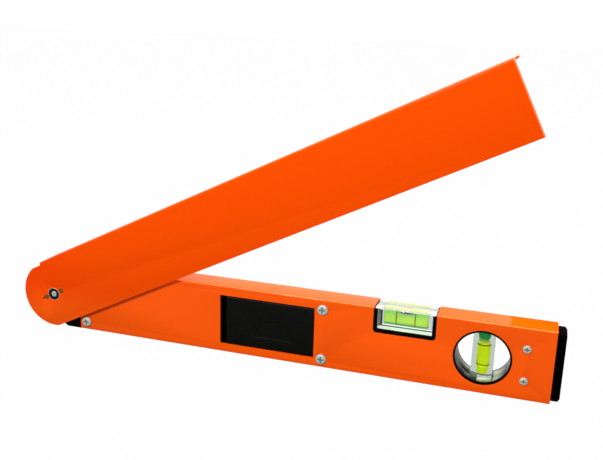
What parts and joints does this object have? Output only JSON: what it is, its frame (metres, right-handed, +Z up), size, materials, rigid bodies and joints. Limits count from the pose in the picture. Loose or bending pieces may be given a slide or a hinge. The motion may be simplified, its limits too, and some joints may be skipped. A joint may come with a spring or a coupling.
{
  "type": "digital inclinometer",
  "caption": "Box-section digital inclinometer with a folding arm on an end pivot, level and plumb block vials, a battery door and a display side with push buttons.",
  "frame": {"origin": "middle of the box section's bottom face, the measuring edge that it stands on", "axes": "+X along the box section towards the end cap, +Y through its depth towards the display side, away from the arm's plate, +Z up"},
  "size_m": [0.3964, 0.0247, 0.2174],
  "materials": {
    "orange_paint": "gloss",
    "black_plastic": "satin",
    "door_plastic": "satin",
    "screw_steel": "satin",
    "contact_steel": "polished",
    "pin_brass": "satin",
    "friction_disc": "satin",
    "circuit_board": "satin",
    "cable_film": "satin",
    "clear_acrylic": "gloss",
    "lens_plastic": "gloss",
    "display_glass": "gloss",
    "vial_liquid": "gloss",
    "green_plug": "gloss",
    "cell_jacket": "gloss",
    "button_rubber": "matte"
  },
  "bodies": {
    "level": {"level_tube": "orange_paint", "end_cap": "black_plastic", "cap_screws": "screw_steel", "vial_frame": "black_plastic", "level_vial": "clear_acrylic", "level_liquid": "vial_liquid", "plumb_ring": "black_plastic", "plumb_vial": "clear_acrylic", "plumb_liquid": "vial_liquid", "plumb_plug": "green_plug", "pivot_housing": "black_plastic", "housing_cover": "black_plastic", "cover_screws": "screw_steel", "housing_screws": "screw_steel", "sensor_board": "circuit_board", "friction_washer": "friction_disc", "flat_cable": "cable_film", "module_carrier": "black_plastic", "carrier_screws": "screw_steel", "battery_lower": "cell_jacket", "battery_upper": "cell_jacket", "contact_leaves": "contact_steel", "contact_bridge": "contact_steel", "main_board": "circuit_board", "switch_domes": "contact_steel", "lcd_panel": "display_glass", "display_bezel": "black_plastic", "display_lens": "lens_plastic"},
    "arm": {"arm_blade": "orange_paint", "pivot_hub": "black_plastic", "pivot_screw": "screw_steel", "sensor_rotor": "circuit_board", "pivot_washer": "screw_steel", "pivot_nut": "screw_steel", "key_pins": "pin_brass"},
    "door": {"battery_door": "door_plastic"},
    "power_button": {"button_power": "button_rubber"},
    "hold_button": {"button_hold": "button_rubber"},
    "zero_button": {"button_zero": "button_rubber"}
  },
  "joints": [
    {"name": "arm_fold", "type": "hinge", "parent": "level", "child": "arm", "pos_m": [-0.1927, 0, 0.0262], "axis": [0, -1, 0], "range_deg": [-26.6, 163.4]},
    {"name": "door_slide", "type": "slide", "parent": "level", "child": "door", "axis": [-1, 0, 0], "range_m": [0, 0.0043]},
    {"name": "power_button_press", "type": "slide", "parent": "level", "child": "power_button", "axis": [0, -1, 0], "range_m": [0, 0.0007], "stiffness_N_per_m": 200},
    {"name": "hold_button_press", "type": "slide", "parent": "level", "child": "hold_button", "axis": [0, -1, 0], "range_m": [0, 0.0007], "stiffness_N_per_m": 200},
    {"name": "zero_button_press", "type": "slide", "parent": "level", "child": "zero_button", "axis": [0, -1, 0], "range_m": [0, 0.0007], "stiffness_N_per_m": 200}
  ]
}
